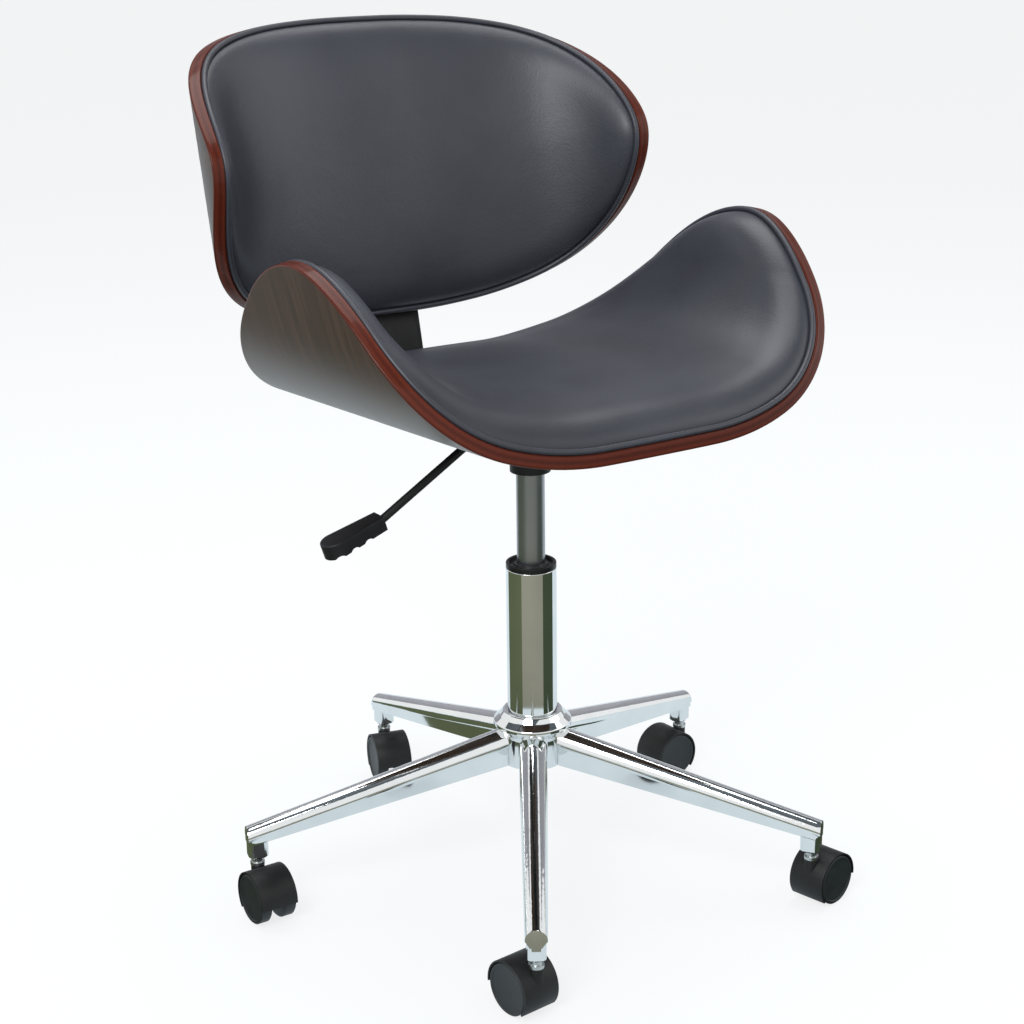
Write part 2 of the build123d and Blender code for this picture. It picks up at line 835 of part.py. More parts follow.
back_shell = bent_board(back, [back_pattern])
keep(back_shell, "back_shell")
back_pad = board_pad(back, back_edge, back_crown)
keep(back_pad, "back_pad")


# Back bracket: a flat bar under the seat that turns up behind the back
seat_along = seat.plane.y_dir
back_along = back.plane.y_dir
bar_start = seat.plane.from_local_coords(Vector(0, bracket_front, 0))
bar_end = back.plane.from_local_coords(Vector(0, bracket_overlap - back_lower, 0))
run = bar_end - bar_start
turn_sine = seat_along.Y * back_along.Z - seat_along.Z * back_along.Y
bar_corner = bar_start + seat_along * ((run.Y * back_along.Z - run.Z * back_along.Y) / turn_sine)
with BuildPart() as back_bracket:
    with BuildSketch(Plane.YZ):
        with BuildLine():
            FilletPolyline(
                (bar_start.Y, bar_start.Z),
                (bar_corner.Y, bar_corner.Z),
                (bar_end.Y, bar_end.Z),
                radius=bracket_bend,
            )
            offset(amount=bracket_thickness, side=Side.RIGHT)
        make_face()
    extrude(amount=bracket_width / 2, both=True)
    for board, pattern in ((seat, seat_pattern), (back, back_pattern)):
        bar_holes = bolt_rounds(board, [pattern], 0, bolt_radius + running)
        extrude(bar_holes, amount=-bracket_thickness, mode=Mode.SUBTRACT)
keep(back_bracket, "back_bracket")


# Button-head bolts from outside, and tee nuts sunk into the boards
def bolts(board, pattern, grip):
    with BuildPart() as group:
        shanks = bolt_rounds(board, [pattern], -grip, bolt_radius)
        extrude(shanks, amount=grip + board_thickness - nut_flange)
        extrude(bolt_rounds(board, [pattern], -grip - bolt_head, bolt_head_radius), amount=bolt_head)
        with BuildSketch(board.plane.offset(-grip - bolt_head)):
            with Locations((0, pattern.centre)):
                with GridLocations(pattern.width, pattern.length, 2, 2):
                    RegularPolygon(bolt_key / 2, 6, major_radius=False)
        extrude(amount=bolt_key_depth, mode=Mode.SUBTRACT)
    return group


def tee_nuts(board, patterns):
    thread = bolt_radius + running
    barrels = bolt_rounds(board, patterns, nut_flange, nut_radius, thread)
    flanges = bolt_rounds(board, patterns, board_thickness - nut_flange, nut_flange_radius, thread)
    with BuildPart() as group:
        extrude(barrels, amount=board_thickness - 2 * nut_flange)
        extrude(flanges, amount=nut_flange)
    return group


keep(bolts(seat, plate_pattern, plate_thickness), "plate_bolts")
keep(bolts(seat, seat_pattern, bracket_thickness), "bracket_seat_bolts")
keep(bolts(back, back_pattern, bracket_thickness), "bracket_back_bolts")
keep(tee_nuts(seat, [plate_pattern, seat_pattern]), "seat_tee_nuts")
keep(tee_nuts(back, [back_pattern]), "back_tee_nuts")
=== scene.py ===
import json
import math
import bpy
from mathutils import Matrix, Vector
from mathutils.kdtree import KDTree


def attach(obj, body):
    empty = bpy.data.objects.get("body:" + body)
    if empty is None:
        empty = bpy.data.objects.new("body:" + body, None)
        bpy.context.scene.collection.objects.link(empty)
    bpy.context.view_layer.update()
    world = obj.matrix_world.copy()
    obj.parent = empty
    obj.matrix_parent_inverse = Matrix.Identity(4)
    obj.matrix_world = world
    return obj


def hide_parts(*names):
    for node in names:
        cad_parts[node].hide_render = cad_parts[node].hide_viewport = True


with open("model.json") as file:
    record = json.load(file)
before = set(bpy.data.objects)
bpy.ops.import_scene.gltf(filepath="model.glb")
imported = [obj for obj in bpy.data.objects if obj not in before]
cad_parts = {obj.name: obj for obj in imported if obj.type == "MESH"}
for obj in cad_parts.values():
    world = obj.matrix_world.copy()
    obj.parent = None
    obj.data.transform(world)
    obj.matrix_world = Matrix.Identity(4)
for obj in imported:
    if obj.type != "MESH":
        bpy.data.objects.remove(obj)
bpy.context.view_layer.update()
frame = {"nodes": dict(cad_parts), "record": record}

mm = 0.001
print("frame loaded", len(frame["nodes"]), "nodes")


# one place for sRGB hex colours
def hexColour(code):
    channels = [int(code[i:i + 2], 16) / 255 for i in (1, 3, 5)]
    return [c / 12.92 if c <= 0.04045 else ((c + 0.055) / 1.055) ** 2.4 for c in channels] + [1.0]


# adds one node with its settings, values and links
def addNode(tree, kind, values=None, links=None, **settings):
    node = tree.nodes.new(kind)
    for key, value in settings.items():
        setattr(node, key, value)
    for key, value in (values or {}).items():
        node.inputs[key].default_value = value
    for key, socket in (links or {}).items():
        tree.links.new(socket, node.inputs[key])
    return node


def startMaterial(name, values):
    material = bpy.data.materials.new(name)
    material.use_nodes = True
    tree = material.node_tree
    shader = tree.nodes["Principled BSDF"]
    for key, value in values.items():
        shader.inputs[key].default_value = value
    return material, tree, shader


def objectPoint(tree):
    return addNode(tree, "ShaderNodeTexCoord").outputs["Object"]


def rampStops(node, stops):
    ramp = node.color_ramp
    for (place, code), element in zip(stops, [ramp.elements[0], ramp.elements[1]]):
        element.position = place
        element.color = hexColour(code)
    for place, code in stops[2:]:
        ramp.elements.new(place).color = hexColour(code)


# a pattern that repeats every so many metres needs this texture scale
def perSize(size):
    return 1.0 / size


# base colour that follows a pattern through its stops
def wanderTone(tree, shader, pattern, stops):
    tone = addNode(tree, "ShaderNodeValToRGB", links={"Fac": pattern})
    rampStops(tone, stops)
    tree.links.new(tone.outputs["Color"], shader.inputs["Base Color"])


# roughness that follows a pattern between two values
def wanderGloss(tree, shader, pattern, gloss):
    least, most = gloss
    span = addNode(tree, "ShaderNodeMapRange", {"To Min": least, "To Max": most}, {"Value": pattern})
    tree.links.new(span.outputs["Result"], shader.inputs["Roughness"])


def bumped(tree, pattern, strength, depth, under=None):
    links = {"Height": pattern}
    if under:
        links["Normal"] = under.outputs["Normal"]
    return addNode(tree, "ShaderNodeBump", {"Strength": strength, "Distance": depth}, links)


# black polyurethane leather, embossed with a fine pebble and stretched over foam: soft broad highlights
def fauxLeather(name):
    grain = {"pebble": 2.2 * mm, "crease": 34 * mm, "cloud": 120 * mm}
    material, tree, shader = startMaterial(name, {"IOR": 1.5, "Specular IOR Level": 0.5})
    point = {"Vector": objectPoint(tree)}
    cloud = addNode(tree, "ShaderNodeTexNoise", {"Scale": perSize(grain["cloud"]), "Detail": 3.0}, point)
    wanderTone(tree, shader, cloud.outputs["Fac"], [(0.3, "#292b32"), (0.72, "#34363f")])
    wanderGloss(tree, shader, cloud.outputs["Fac"], (0.36, 0.47))
    pebble = addNode(
        tree, "ShaderNodeTexVoronoi", {"Scale": perSize(grain["pebble"])}, point, feature="SMOOTH_F1"
    )
    crease = addNode(
        tree, "ShaderNodeTexNoise",
        {"Scale": perSize(grain["crease"]), "Detail": 5.0, "Distortion": 0.6}, point,
    )
    low = bumped(tree, crease.outputs["Fac"], 0.2, 2.0 * mm)
    fine = bumped(tree, pebble.outputs["Distance"], 0.35, 0.3 * mm, low)
    tree.links.new(fine.outputs["Normal"], shader.inputs["Normal"])
    return material


# walnut veneer under clear lacquer: long dark grain and a grey sheen at low angles
def walnutVeneer(name):
    grain = {"along": 160 * mm, "across": 9 * mm}
    material, tree, shader = startMaterial(
        name, {"IOR": 1.5, "Coat Weight": 0.12, "Coat Roughness": 0.25, "Specular IOR Level": 0.35}
    )
    flat = addNode(tree, "ShaderNodeUVMap", uv_map="flat")
    stretch = addNode(
        tree, "ShaderNodeMapping",
        {"Scale": (perSize(grain["along"]), perSize(grain["across"]), perSize(grain["across"]))},
        {"Vector": flat.outputs["UV"]},
    )
    figure = addNode(
        tree, "ShaderNodeTexNoise", {"Scale": 1.0, "Detail": 6.0, "Roughness": 0.62, "Distortion": 0.4},
        {"Vector": stretch.outputs["Vector"]},
    )
    wanderTone(tree, shader, figure.outputs["Fac"], [(0.28, "#291a12"), (0.75, "#4c3527"), (0.52, "#3a271c")])
    wanderGloss(tree, shader, figure.outputs["Fac"], (0.3, 0.42))
    pores = bumped(tree, figure.outputs["Fac"], 0.06, 0.3 * mm)
    tree.links.new(pores.outputs["Normal"], shader.inputs["Normal"])
    return material


# plywood edge, sanded, stained red-brown and lacquered: a satin sheen, with faint plies running along it
def stainedEdge(name):
    ply = {"count": 7, "fleck": 3 * mm, "wobble": 0.8}
    material, tree, shader = startMaterial(
        name, {"IOR": 1.5, "Coat Weight": 0.2, "Coat Roughness": 0.12, "Specular IOR Level": 0.1}
    )
    band = addNode(tree, "ShaderNodeUVMap", uv_map="edge")
    split = addNode(tree, "ShaderNodeSeparateXYZ", links={"Vector": band.outputs["UV"]})
    point = {"Vector": objectPoint(tree)}
    fleck = addNode(tree, "ShaderNodeTexNoise", {"Scale": perSize(ply["fleck"]), "Detail": 4.0}, point)
    plies = addNode(tree, "ShaderNodeMath", {1: ply["count"]}, {0: split.outputs["Y"]}, operation="MULTIPLY")
    wobble = addNode(
        tree, "ShaderNodeMath", {1: ply["wobble"]},
        {0: fleck.outputs["Fac"], 2: plies.outputs["Value"]}, operation="MULTIPLY_ADD",
    )
    bands = addNode(tree, "ShaderNodeMath", {1: 1.0}, {0: wobble.outputs["Value"]}, operation="PINGPONG")
    wanderTone(tree, shader, bands.outputs["Value"], [(0.1, "#41160b"), (0.9, "#542011")])
    wanderGloss(tree, shader, fleck.outputs["Fac"], (0.36, 0.46))
    return material


# hard metal and moulded plastic: one base colour broken up by fine marks in the gloss and the skin
def hardFinish(name, codes, values, marks):
    material, tree, shader = startMaterial(name, values)
    point = {"Vector": objectPoint(tree)}
    smear = addNode(tree, "ShaderNodeTexNoise", {"Scale": perSize(marks["smear"]), "Detail": 4.0}, point)
    wanderTone(tree, shader, smear.outputs["Fac"], [(0.25, codes[0]), (0.75, codes[1])])
    wanderGloss(tree, shader, smear.outputs["Fac"], marks["gloss"])
    if marks["skin"]:
        skin = addNode(tree, "ShaderNodeTexNoise", {"Scale": perSize(marks["skin"]), "Detail": 2.0}, point)
        bump = bumped(tree, skin.outputs["Fac"], marks["bump"], 0.1 * mm)
        tree.links.new(bump.outputs["Normal"], shader.inputs["Normal"])
    return material


metal = {"Metallic": 1.0}
plastic = {"IOR": 1.49, "Specular IOR Level": 0.35}
finishes = {
    "chrome": hardFinish("chromePlate", ("#dfe2e3", "#eceeee"), metal,
                         {"smear": 60 * mm, "gloss": (0.03, 0.075), "skin": 0, "bump": 0}),
    "nylon": hardFinish("mouldedNylon", ("#0d0e0f", "#141516"), plastic,
                        {"smear": 18 * mm, "gloss": (0.42, 0.56), "skin": 0.9 * mm, "bump": 0.12}),
    "wheel_nylon": hardFinish("wheelNylon", ("#1b2022", "#24292b"), plastic,
                              {"smear": 14 * mm, "gloss": (0.4, 0.54), "skin": 0.9 * mm, "bump": 0.1}),
    "bush_plastic": hardFinish("acetalBush", ("#0c0d0e", "#131415"), plastic,
                               {"smear": 20 * mm, "gloss": (0.3, 0.42), "skin": 1.0 * mm, "bump": 0.06}),
    "zinc_steel": hardFinish("zincPlate", ("#aeb3b4", "#c9cccb"), metal,
                             {"smear": 8 * mm, "gloss": (0.2, 0.34), "skin": 1.2 * mm, "bump": 0.05}),
    "bumper_rubber": hardFinish("bumperRubber", ("#151515", "#1e1e1e"), plastic,
                                {"smear": 9 * mm, "gloss": (0.6, 0.75), "skin": 1.0 * mm, "bump": 0.15}),
    "satin_steel": hardFinish("satinSteel", ("#989b9e", "#a6a9ac"), metal,
                              {"smear": 45 * mm, "gloss": (0.26, 0.34), "skin": 0.8 * mm, "bump": 0.03}),
    "black_steel": hardFinish("powderCoat", ("#0d0d0e", "#141516"), plastic,
                              {"smear": 30 * mm, "gloss": (0.4, 0.52), "skin": 1.1 * mm, "bump": 0.14}),
    "grip_plastic": hardFinish("gripPlastic", ("#101113", "#18191b"), plastic,
                               {"smear": 12 * mm, "gloss": (0.38, 0.5), "skin": 0.8 * mm, "bump": 0.12}),
}
leather = fauxLeather("fauxLeather")
veneer = walnutVeneer("walnutVeneer")
edgeWood = stainedEdge("stainedPlyEdge")
print("materials made")

slotOf = {part["node"]: part["material_slot"] for part in frame["record"]["subparts"]}
for nodeName, node in frame["nodes"].items():
    if slotOf[nodeName] in finishes:
        node.data.materials.clear()
        node.data.materials.append(finishes[slotOf[nodeName]])


# bent boards: a section of a flat, bends and a straight, and a flat outline of two powers
seatBoard = {
    "centre": (0, -33.9, 481.4), "rulings": -2.79, "thick": 12.0,
    "flat": 60.0, "bends": ((300.0, 17.2), (145.0, 59.3)), "straight": 64.6,
    "low": (178.1, 2.698, 1.579), "high": (262.5, 1.513, 2.067), "fill": 20.0,
}
backBoard = {
    "centre": (0, 300.3, 688.8), "rulings": 90 - 13.02, "thick": 12.0,
    "flat": 35.0, "bends": ((330.0, 13.0), (235.0, 18.3), (150.0, 57.8)), "straight": 0.0,
    "low": (157.9, 2.627, 1.560), "high": (151.9, 2.667, 1.386), "fill": 0.0,
}


def halfSpan(board):
    return board["flat"] + sum(r * math.radians(turn) for r, turn in board["bends"]) + board["straight"]


# point of the board, s along its outer face, y along its rulings, lifted towards the sitter
def boardPoint(board, s, y, lift):
    run = abs(s)
    step = min(run, board["flat"])
    x, z, slope = step, 0.0, 0.0
    run -= step
    for radius, turn in board["bends"]:
        angle = min(run / radius, math.radians(turn))
        x += radius * (math.sin(slope + angle) - math.sin(slope))
        z += radius * (math.cos(slope) - math.cos(slope + angle))
        slope += angle
        run -= radius * angle
    x += run * math.cos(slope) - lift * math.sin(slope)
    z += run * math.sin(slope) + lift * math.cos(slope)
    tilt = math.radians(board["rulings"])
    along = Vector((0, math.cos(tilt), math.sin(tilt)))
    out = Vector((0, -math.sin(tilt), math.cos(tilt)))
    across = Vector((math.copysign(x, s), 0, 0))
    return (Vector(board["centre"]) + across + along * y + out * z) * mm


knots = 32              # points that fix an outline
perKnot = 9             # steps between two of them
columns = knots * perKnot
fillPowers = (2, 4)     # how an outline's swelling rises and falls towards its tips
tipRounding = {"passes": 90, "from": 0.6, "over": 0.3, "least": 0.02, "gain": 0.48}


def easeIn(x):
    x = min(1.0, max(0.0, x))
    return x * x * (3 - 2 * x)


# swelling of an outline between its middle and its tips, 1 where it is most
def fullness(share):
    rise, fall = fillPowers
    peak = rise / (rise + 2 * fall)
    most = peak ** (rise / 2) * (1 - peak) ** fall
    return share ** rise * (1 - share ** 2) ** fall / most


def outlineKnot(board, index):
    turn = 2 * math.pi * index / knots
    share = abs(math.sin(turn))
    reach, across, along = board["low"] if math.cos(turn) >= 0 else board["high"]
    side = -1 if math.cos(turn) >= 0 else 1
    y = side * reach * max(0.0, 1 - share ** across) ** (1 / along)
    if side > 0:
        y += board["fill"] * fullness(share)
    return Vector((halfSpan(board) * math.sin(turn), y))


# smooth closed outline of the board, and the direction inwards from it, for every column
def flatOutline(board):
    fixed = [outlineKnot(board, index) for index in range(knots)]
    gaps = [(fixed[(k + 1) % knots] - fixed[k]).length for k in range(knots)]
    heads = []
    for k in range(knots):
        ahead = (fixed[(k + 1) % knots] - fixed[k]) / gaps[k]
        behind = (fixed[k] - fixed[k - 1]) / gaps[k - 1]
        heads.append((ahead * gaps[k - 1] + behind * gaps[k]) / (gaps[k] + gaps[k - 1]))
    points = []
    for k in range(knots):
        after = (k + 1) % knots
        for step in range(perKnot):
            f = step / perKnot
            points.append(
                fixed[k] * (2 * f ** 3 - 3 * f ** 2 + 1) + heads[k] * gaps[k] * (f ** 3 - 2 * f ** 2 + f)
                + fixed[after] * (3 * f ** 2 - 2 * f ** 3) + heads[after] * gaps[k] * (f ** 3 - f ** 2)
            )
    for turn in range(tipRounding["passes"]):
        middles = [(points[c - 1] + points[(c + 1) % columns]) / 2 for c in range(columns)]
        for c in range(columns):
            near = easeIn((abs(points[c].x) / halfSpan(board) - tipRounding["from"]) / tipRounding["over"])
            points[c] = points[c].lerp(middles[c], tipRounding["least"] + tipRounding["gain"] * near)
    inwards = []
    for column in range(columns):
        ahead = points[(column + 2) % columns] - points[column - 2]
        inwards.append(Vector((-ahead.y, ahead.x)).normalized())
    return points, inwards


rimWidth = 14.0         # band along the edge where distances are true
mergeGap = 0.02 * mm    # points nearer than this become one


def flatSpot(outline, column, distance, share):
    points, inwards = outline
    rim = points[column % columns] + inwards[column % columns] * distance
    return rim * (1 - share)


# finds the true distance of a flat spot from the outline
def outlineTree(outline):
    points = outline[0]
    finer = 8
    tree = KDTree(columns * finer)
    for column in range(columns):
        for step in range(finer):
            spot = points[column].lerp(points[(column + 1) % columns], step / finer)
            tree.insert(spot.to_3d(), column * finer + step)
    tree.balance()
    return tree


# wraps a grid round an outline: one row for each (distance from edge, share to the middle, lift)
def wrapGrid(name, board, rows, size=None):
    outline = flatOutline(board)
    rim = outlineTree(outline) if size else None
    bpy.ops.object.select_all(action="DESELECT")
    bpy.ops.mesh.primitive_grid_add(x_subdivisions=columns, y_subdivisions=len(rows) - 1, size=2.0)
    piece = bpy.context.object
    piece.name = name
    piece.data.name = name
    piece.data.uv_layers.active.name = "edge"
    flat = []
    for vertex in piece.data.vertices:
        column = round((vertex.co.x + 1) / 2 * columns)
        row = round((vertex.co.y + 1) / 2 * (len(rows) - 1))
        distance, share, lift = rows[row]
        spot = flatSpot(outline, column, distance, share)
        if lift is None:
            inwards = 1 - spot.length / outline[0][column % columns].length
            lift = board["thick"] + padLift(size, rim.find(spot.to_3d())[2], inwards)
        vertex.co = boardPoint(board, spot.x, spot.y, lift)
        flat.append(spot * mm)
    piece.data.uv_layers.new(name="flat")
    for loop, place in zip(piece.data.loops, piece.data.uv_layers["flat"].data):
        place.uv = flat[loop.vertex_index]
    bpy.ops.object.mode_set(mode="EDIT")
    bpy.ops.mesh.select_all(action="SELECT")
    bpy.ops.mesh.remove_doubles(threshold=mergeGap)
    bpy.ops.mesh.normals_make_consistent(inside=False)
    bpy.ops.object.mode_set(mode="OBJECT")
    bpy.ops.object.shade_smooth()
    return piece


def setDown(piece, body, slot, *nodes):
    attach(piece, body)
    if nodes:
        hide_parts(*nodes)


# shell: outer face, rounded edge, inner face
shellEdge = {"arris": 1.6, "arcSteps": 4, "faceRows": 26, "rimRows": (rimWidth, 9.0, 5.0, 2.0), "edgeRows": 5}


def bentShell(name, board, node):
    thick, arris = board["thick"], shellEdge["arris"]
    steps, faceRows, edgeRows = shellEdge["arcSteps"], shellEdge["faceRows"], shellEdge["edgeRows"]
    face = [(rimWidth, 1 - k / faceRows) for k in range(faceRows)] + [(d, 0.0) for d in shellEdge["rimRows"]]
    rows = [(d, share, 0.0) for d, share in face]
    firstArc = []
    for k in range(steps + 1):
        angle = math.pi / 2 * k / steps
        firstArc.append((arris - arris * math.sin(angle), 0.0, arris - arris * math.cos(angle)))
    wall = [(0.0, 0.0, arris + (thick - 2 * arris) * k / edgeRows) for k in range(1, edgeRows)]
    rows += firstArc + wall + [(d, s, thick - lift) for d, s, lift in reversed(firstArc)]
    edgeBand = (len(face), len(rows) - 1)
    rows += [(d, share, thick) for d, share in reversed(face)]
    piece = wrapGrid(name, board, rows)
    piece.data.materials.append(veneer)
    piece.data.materials.append(edgeWood)
    layer = piece.data.uv_layers["edge"].data
    for polygon in piece.data.polygons:
        place = sum(layer[i].uv.y for i in polygon.loop_indices) / polygon.loop_total * (len(rows) - 1)
        polygon.material_index = 1 if edgeBand[0] <= place <= edgeBand[1] else 0
    span = edgeBand[1] - edgeBand[0]
    for loop in layer:
        loop.uv.y = (loop.uv.y * (len(rows) - 1) - edgeBand[0]) / span
    setDown(piece, "seat", "walnut_board", node)
    return piece


# pad: flat below, a full rounded side, and a crowned top
padShape = {
    "floor": 0.5, "inset": 5.6, "tuck": 1.0, "sideWidth": 40.0, "round": 3.0, "fall": 2.4,
    "floorRows": 6, "sideRows": (0.15, 0.5, 1.1, 2.0, 3.4, 5.0, 6.7), "topRows": 56, "bunching": 1.3,
}
seatPadSize = {"edge": 25.0, "crown": 17.0, "voxel": 6.0 * mm, "cap": 3.0 * mm}
backPadSize = {"edge": 14.0, "crown": 13.0, "voxel": 6.0 * mm, "cap": 2.5 * mm}


# height of the pad: a side that rises steeply and rolls over, and a crown up to the middle
def padLift(size, distance, inwards):
    side = min(1.0, max(0.0, (distance - padShape["inset"]) / padShape["sideWidth"]))
    roll = math.sqrt(1 - (1 - side) ** padShape["round"])
    return padShape["floor"] + size["edge"] * roll + size["crown"] * (1 - (1 - inwards) ** padShape["fall"])


def crownedPad(name, board, size, node):
    floor = board["thick"] + padShape["floor"]
    inset, floorRows, topRows = padShape["inset"], padShape["floorRows"], padShape["topRows"]
    rows = [(inset + padShape["tuck"], 1 - k / floorRows, floor) for k in range(floorRows + 1)]
    rows.append((inset, 0.0, floor))
    rows += [(inset + step, 0.0, None) for step in padShape["sideRows"]]
    rows += [(rimWidth, (k / topRows) ** padShape["bunching"], None) for k in range(topRows + 1)]
    piece = wrapGrid(name, board, rows, size)
    swell(piece, board, size)
    piece.data.materials.append(leather)
    setDown(piece, "seat", "black_leather", node)
    return piece


# lift of a point above the inner face of a board, from the nearest of many face points
facePoints = {"across": 60, "along": 30, "reach": 270.0}


def faceTree(board):
    across, along = facePoints["across"], facePoints["along"]
    spots = []
    for i in range(-across, across + 1):
        for j in range(-along, along + 1):
            s, y = halfSpan(board) * i / across, facePoints["reach"] * j / along
            spots.append(boardPoint(board, s, y, board["thick"]))
    tree = KDTree(len(spots))
    for index, spot in enumerate(spots):
        tree.insert(spot, index)
    tree.balance()
    return tree


# foam swells the cover: a copy is puffed as cloth under pressure, and the pad follows its smoothed movement
coverCloth = {
    "held": 8 * mm, "freed": 24 * mm, "neighbours": 160, "frames": 20, "quality": 5,
    "mass": 0.3, "stiffness": 12, "bending": 2, "pressure": 4,
}


def swell(piece, board, size):
    bpy.ops.object.select_all(action="DESELECT")
    piece.select_set(True)
    bpy.context.view_layer.objects.active = piece
    bpy.ops.object.duplicate()
    cover = bpy.context.object
    remesh = cover.modifiers.new("evenMesh", "REMESH")
    remesh.mode = "VOXEL"
    remesh.voxel_size = size["voxel"]
    bpy.ops.object.modifier_apply(modifier=remesh.name)
    face = faceTree(board)
    held = cover.vertex_groups.new(name="held")
    low = [vertex.index for vertex in cover.data.vertices if face.find(vertex.co)[2] < coverCloth["held"]]
    held.add(low, 1.0, "REPLACE")
    cloth = cover.modifiers.new("cover", "CLOTH")
    cloth.settings.quality = coverCloth["quality"]
    cloth.settings.mass = coverCloth["mass"]
    cloth.settings.tension_stiffness = coverCloth["stiffness"]
    cloth.settings.compression_stiffness = coverCloth["stiffness"]
    cloth.settings.bending_stiffness = coverCloth["bending"]
    cloth.settings.use_pressure = True
    cloth.settings.uniform_pressure_force = coverCloth["pressure"]
    cloth.settings.effector_weights.gravity = 0
    cloth.settings.vertex_group_mass = "held"
    for step in range(1, coverCloth["frames"] + 1):
        bpy.context.scene.frame_set(step)
    puffed = cover.evaluated_get(bpy.context.evaluated_depsgraph_get())
    moves = [after.co - before.co for after, before in zip(puffed.data.vertices, cover.data.vertices)]
    tree = KDTree(len(moves))
    for vertex in cover.data.vertices:
        tree.insert(vertex.co, vertex.index)
    tree.balance()
    bpy.context.scene.frame_set(1)
    for vertex in piece.data.vertices:
        near = tree.find_n(vertex.co, coverCloth["neighbours"])
        move = sum((moves[index] for place, index, gap in near), Vector()) / len(near)
        lift = face.find(vertex.co)[2]
        free = easeIn((lift - coverCloth["held"]) / (coverCloth["freed"] - coverCloth["held"]))
        vertex.co += move * free * size["cap"] / (size["cap"] + move.length)
    bpy.data.objects.remove(cover)


# piping: a covered cord sewn round the pad, along the edge of the board
piping = {"inset": 3.3, "radius": 3.0, "rise": 0.97, "sides": 14}


def edgePiping(name, board):
    rows = []
    for k in range(piping["sides"] + 1):
        angle = 2 * math.pi * k / piping["sides"]
        rows.append((piping["inset"] + piping["radius"] * math.cos(angle), 0.0,
                     board["thick"] + piping["radius"] * (piping["rise"] + math.sin(angle))))
    piece = wrapGrid(name, board, rows)
    piece.data.materials.append(leather)
    setDown(piece, "seat", "black_leather")
    return piece


bentShell("seatBoard", seatBoard, "seat_shell")
bentShell("backBoard", backBoard, "back_shell")
crownedPad("seatCushion", seatBoard, seatPadSize, "seat_pad")
crownedPad("backCushion", backBoard, backPadSize, "back_pad")
edgePiping("seatPiping", seatBoard)
edgePiping("backPiping", backBoard)
print("boards, cushions and piping made")


# turned pieces: a profile of (radius, height) in millimetres spun round the column's axis
turnedSteps = 128
turnedCrease = math.radians(38)
turnedGap = 0.005 * mm


def turned(name, profile, finish, slot, node):
    bpy.ops.object.select_all(action="DESELECT")
    bpy.ops.mesh.primitive_grid_add(x_subdivisions=turnedSteps, y_subdivisions=len(profile), size=2.0)
    piece = bpy.context.object
    piece.name = name
    piece.data.name = name
    ring = profile + profile[:1]
    for vertex in piece.data.vertices:
        angle = math.pi * (vertex.co.x + 1)
        radius, height = ring[round((vertex.co.y + 1) / 2 * len(profile))]
        vertex.co = Vector((radius * math.cos(angle), radius * math.sin(angle), height)) * mm
    bpy.ops.object.mode_set(mode="EDIT")
    bpy.ops.mesh.select_all(action="SELECT")
    bpy.ops.mesh.remove_doubles(threshold=turnedGap)
    bpy.ops.mesh.normals_make_consistent(inside=False)
    bpy.ops.object.mode_set(mode="OBJECT")
    bpy.ops.object.shade_smooth_by_angle(angle=turnedCrease)
    piece.data.materials.append(finish)
    setDown(piece, "base", slot, node)
    return piece


# points of a rounded corner between two directions, in steps
def roundOff(corner, before, after, radius, steps=6):
    corner = Vector(corner)
    back = (Vector(before) - corner).normalized()
    on = (Vector(after) - corner).normalized()
    half = back.angle(on) / 2
    reach = radius / math.tan(half)
    centre = corner + (back + on).normalized() * (radius / math.sin(half))
    first, last = corner + back * reach - centre, corner + on * reach - centre
    sweep = first.angle_signed(last)
    return [tuple(centre + Matrix.Rotation(-sweep * k / steps, 2) @ first) for k in range(steps + 1)]


def roundedProfile(corners):
    profile = []
    for k, (radius, height, rounding) in enumerate(corners):
        before, after = corners[k - 1][:2], corners[(k + 1) % len(corners)][:2]
        profile += roundOff((radius, height), before, after, rounding) if rounding else [(radius, height)]
    return profile


column = {"foot": 118.0, "floor": 121.0, "top": 326.5, "rodHole": 5.1, "inside": 23.0, "outside": 25.0}
hub = {
    "bore": 25.1, "sleeve": 33.0, "flange": 39.5, "collar": 29.6, "mouth": 27.0, "shoulder": (33.2, 170.4),
    "low": 121.0, "flare": 153.5, "rim": (161.0, 164.8), "recess": 173.6, "top": 175.5,
}
bush = {
    "bore": 14.05, "stem": 22.95, "cap": 25.0, "dish": 22.0, "ring": 17.2,
    "low": 248.5, "dishFloor": 329.5, "ringTop": 330.8, "top": 332.5,
}
mouthSlope = 0.4        # how much narrower the hub's mouth and the bush's dish are below than above
ringSlope = 0.2
columnCorners = [
    (column["rodHole"], column["foot"], 0), (column["outside"], column["foot"], 0.6),
    (column["outside"], column["top"], 0.7), (column["inside"], column["top"], 0.3),
    (column["inside"], column["floor"], 0), (column["rodHole"], column["floor"], 0),
]
hubCorners = [
    (hub["bore"], hub["low"], 0), (hub["sleeve"], hub["low"], 1.6), (hub["sleeve"], hub["flare"], 8.0),
    (hub["flange"], hub["rim"][0], 1.2), (hub["flange"], hub["rim"][1], 2.4), (*hub["shoulder"], 6.0),
    (hub["collar"], hub["top"], 1.6), (hub["mouth"], hub["top"], 0.8),
    (hub["mouth"] - mouthSlope, hub["recess"], 0.3), (hub["bore"], hub["recess"], 0),
]
bushCorners = [
    (bush["bore"], bush["low"], 0), (bush["stem"], bush["low"], 0), (bush["stem"], column["top"], 0),
    (bush["cap"], column["top"], 0.4), (bush["cap"], bush["top"], 1.2), (bush["dish"], bush["top"], 0.6),
    (bush["dish"] - mouthSlope, bush["dishFloor"], 0.4), (bush["ring"], bush["dishFloor"], 0.3),
    (bush["ring"] - ringSlope, bush["ringTop"], 0.5), (bush["bore"], bush["ringTop"], 0.4),
]
turned("starHub", roundedProfile(hubCorners), finishes["chrome"], "chrome", "base_hub")
